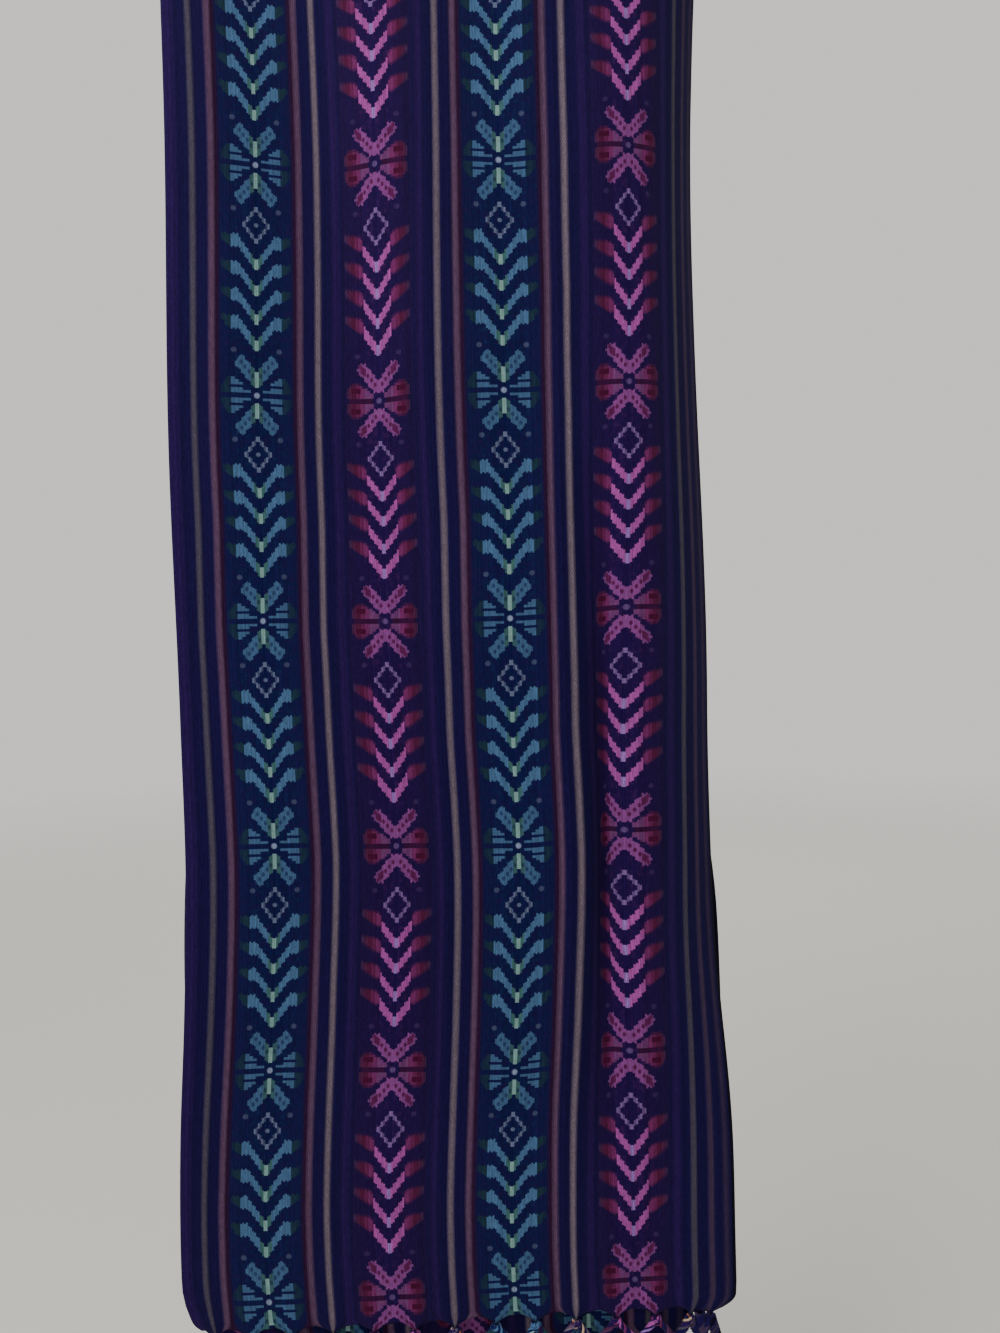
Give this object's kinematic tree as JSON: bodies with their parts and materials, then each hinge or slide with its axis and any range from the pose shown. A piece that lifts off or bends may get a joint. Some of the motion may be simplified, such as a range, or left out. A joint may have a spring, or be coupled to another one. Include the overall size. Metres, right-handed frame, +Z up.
{
  "type": "rebozo shawl on a rod",
  "caption": "Long warp-striped woven shawl with knotted fringed ends, folded once lengthwise and hung over a plain round rod.",
  "frame": {"origin": "middle of the rod's axis, where the rod that holds the shawl up is itself held", "axes": "+Z up, +X along the rod to the right of someone who looks at the front, the longer front drop faces -Y"},
  "size_m": [0.42, 0.0762, 1.1769],
  "materials": {
    "woven_cloth": "warp-faced cotton weave with pick-up bands",
    "fringe_yarn": "plied cotton yarn",
    "oiled_wood": "oiled, satin"
  },
  "bodies": {
    "root": {"cloth": "woven_cloth", "fringe_front_outer": "fringe_yarn", "fringe_front_hidden": "fringe_yarn", "fringe_back_outer": "fringe_yarn", "fringe_back_hidden": "fringe_yarn", "rod": "oiled_wood"}
  },
  "joints": []
}
